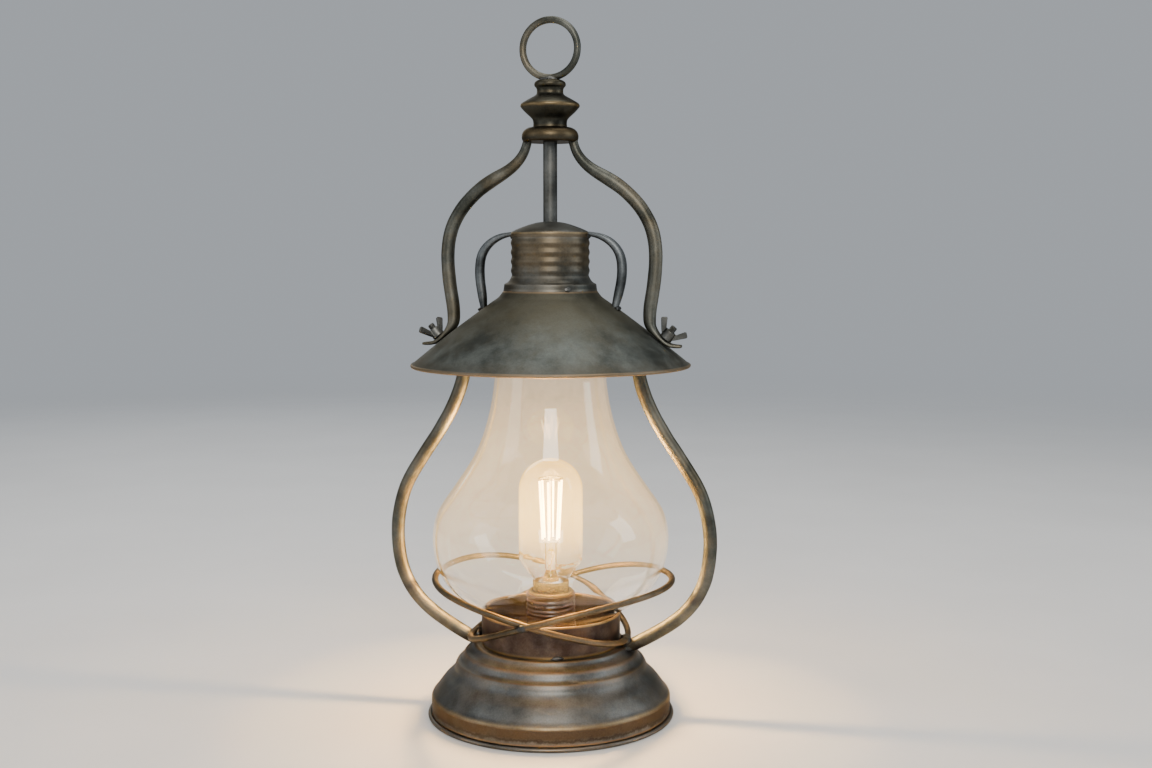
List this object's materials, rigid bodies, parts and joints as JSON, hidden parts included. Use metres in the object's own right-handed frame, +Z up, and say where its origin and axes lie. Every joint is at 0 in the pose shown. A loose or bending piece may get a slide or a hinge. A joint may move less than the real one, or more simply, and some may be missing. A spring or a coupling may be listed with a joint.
{
  "type": "table lamp",
  "caption": "Electric table lamp in old lantern form: spun base, pear-shaped glass chimney with a screw-in bulb, bent tube arms, conical hood, ribbed vent and hanging ring.",
  "frame": {"origin": "centre of the base, on the plane it stands on", "axes": "+Z up along the lamp's axis, +X through the right arm, -Y the front, +Y the back with the cord inlet"},
  "size_m": [0.2416, 0.2008, 0.5],
  "materials": {
    "pewter_sheet": "spun steel sheet, aged pewter plate with rubbed edges",
    "bronze_tube": "bent steel tube and wire, dark antique bronze plate",
    "turned_metal": "turned steel, aged pewter plate",
    "copper_cup": "aged copper-brown plate",
    "zinc_fasteners": "dull zinc plate",
    "brass_fittings": "plain brass",
    "bulb_metal": "rolled nickel-washed brass",
    "brown_resin": "moulded brown resin with horizontal bands",
    "white_ceramic": "unglazed electrical ceramic",
    "black_insulator": "black vitrified insulator",
    "circuit_board": "small driver board with a capacitor",
    "chimney_glass": "clear blown glass",
    "bulb_glass": "thin clear glass",
    "filament": "lit phosphor filaments",
    "rubber": "black moulded rubber"
  },
  "bodies": {
    "lamp": {"base_shell": "pewter_sheet", "base_pan": "pewter_sheet", "cord_grommet": "rubber", "gallery_cup": "copper_cup", "lower_arm_left": "bronze_tube", "lower_arm_right": "bronze_tube", "guard_hoop_left": "bronze_tube", "guard_hoop_right": "bronze_tube", "holder_nipple": "brass_fittings", "nipple_nut": "brass_fittings", "nipple_washer": "brass_fittings", "holder_sleeve": "brown_resin", "holder_insert": "white_ceramic", "terminal_screws": "zinc_fasteners", "screw_shell": "brass_fittings", "centre_contact": "brass_fittings", "holder_flange": "brass_fittings", "shade": "pewter_sheet", "vent_collar": "pewter_sheet", "vent_body": "pewter_sheet", "vent_cap": "pewter_sheet", "vent_handle_left": "bronze_tube", "vent_handle_right": "bronze_tube", "upper_arm_left": "bronze_tube", "upper_arm_right": "bronze_tube", "hood_bolts": "zinc_fasteners", "centre_rod": "turned_metal", "rod_nut": "zinc_fasteners", "finial_collar": "turned_metal", "finial_knop": "turned_metal", "finial_cap": "turned_metal", "hanging_ring": "bronze_tube"},
    "chimney": {"chimney_glass": "chimney_glass"},
    "bulb_foot": {"bulb_contact": "bulb_metal"},
    "bulb": {"bulb_cap": "bulb_metal", "bulb_insulator": "black_insulator", "bulb_driver": "circuit_board", "bulb_glass": "bulb_glass", "bulb_stem": "bulb_glass", "bulb_filaments": "filament", "bulb_wires": "bulb_metal"},
    "left_wing_nut": {"wing_nut_left": "zinc_fasteners"},
    "right_wing_nut": {"wing_nut_right": "zinc_fasteners"}
  },
  "joints": [
    {"name": "chimney_lift", "type": "slide", "parent": "lamp", "child": "chimney", "axis": [0, 0, 1], "range_m": [0, 0.024]},
    {"name": "bulb_rise", "type": "slide", "parent": "lamp", "child": "bulb_foot", "axis": [0, 0, 1], "range_m": [0, 0.01452]},
    {"name": "bulb_turn", "type": "hinge", "parent": "bulb_foot", "child": "bulb", "pos_m": [0, 0, 0.08], "axis": [0, 0, 1], "range_deg": [0, 1440]},
    {"name": "left_nut_turn", "type": "hinge", "parent": "lamp", "child": "left_wing_nut", "pos_m": [-0.0803, 0, 0.27122], "axis": [-0.6199, 0, 0.7847], "range_deg": [0, 1170]},
    {"name": "right_nut_turn", "type": "hinge", "parent": "lamp", "child": "right_wing_nut", "pos_m": [0.0803, 0, 0.27122], "axis": [0.6199, 0, 0.7847], "range_deg": [0, 1170]}
  ],
  "couplings": [
    {"joint": "bulb_rise", "follows": "bulb_turn", "m_per_rad": 0.00057773}
  ]
}
